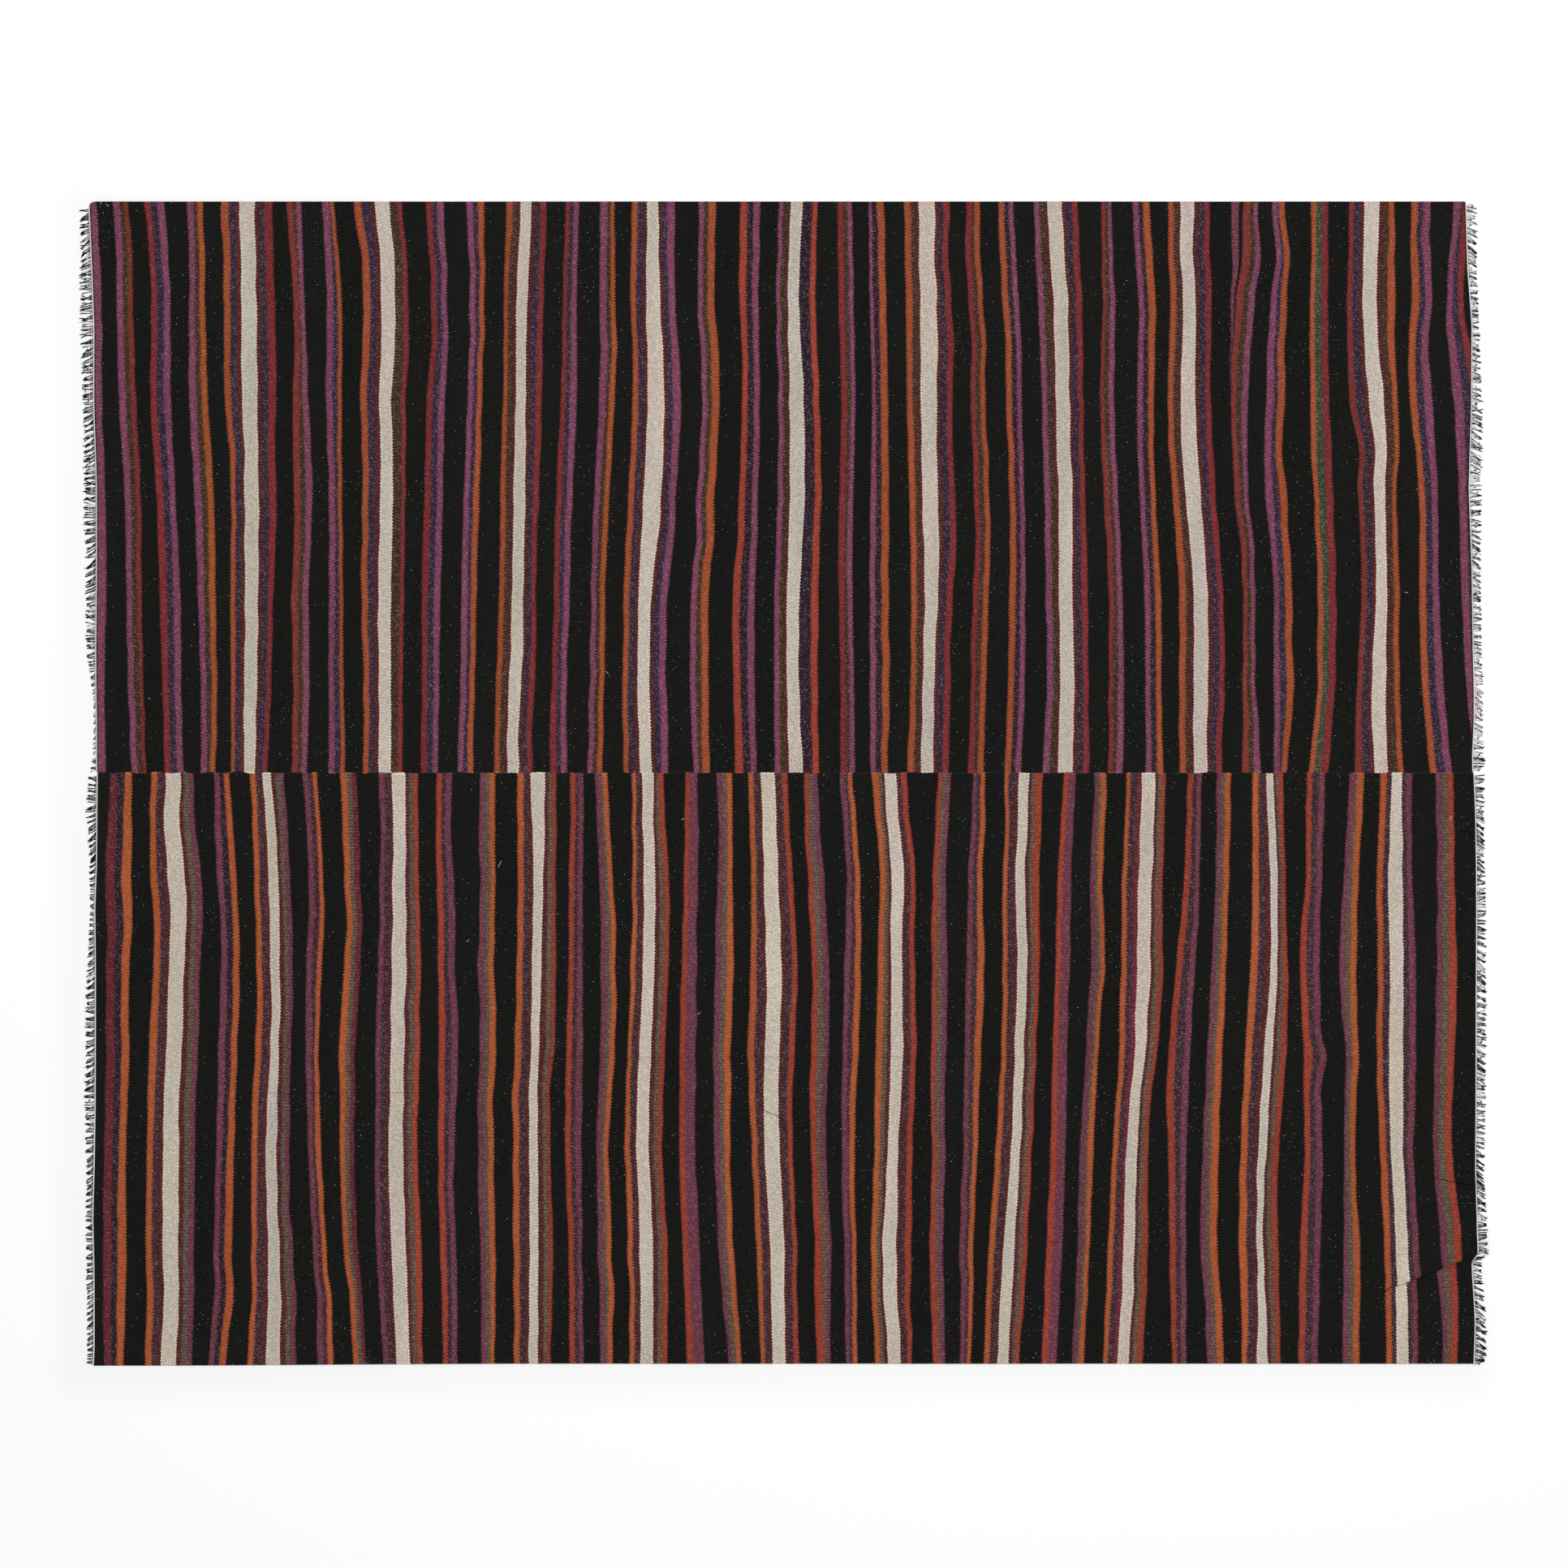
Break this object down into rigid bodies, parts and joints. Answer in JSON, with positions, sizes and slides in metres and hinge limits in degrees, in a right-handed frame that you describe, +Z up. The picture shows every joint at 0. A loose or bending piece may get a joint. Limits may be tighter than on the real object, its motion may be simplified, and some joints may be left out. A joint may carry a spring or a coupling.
{
  "type": "flatwoven kilim rug",
  "caption": "Flat two-panel wool kilim, seamed edge to edge, with narrow weft stripes, short warp fringe at both ends and a small tuck near one corner.",
  "frame": {"origin": "middle of the underside, on the floor, with the fringes counted in", "axes": "+Z up out of the face, +X along the warps towards the right fringe, +Y along the stripes towards the upper panel's outer edge"},
  "size_m": [2.6022, 2.151, 0.0086],
  "materials": {
    "upper_weave": "weft-faced flat weave of matt wool in black with cream, orange, red, purple and indigo stripes",
    "lower_weave": "weft-faced flat weave of matt wool in black with cream, orange, plum, olive-grey and indigo stripes",
    "warp_ends": "twined band and cut ends of undyed and dark twisted warp yarn"
  },
  "bodies": {
    "root": {"panel_upper": "upper_weave", "panel_lower": "lower_weave", "fringe_upper_left": "warp_ends", "fringe_upper_right": "warp_ends", "fringe_lower_left": "warp_ends", "fringe_lower_right": "warp_ends"}
  },
  "joints": []
}
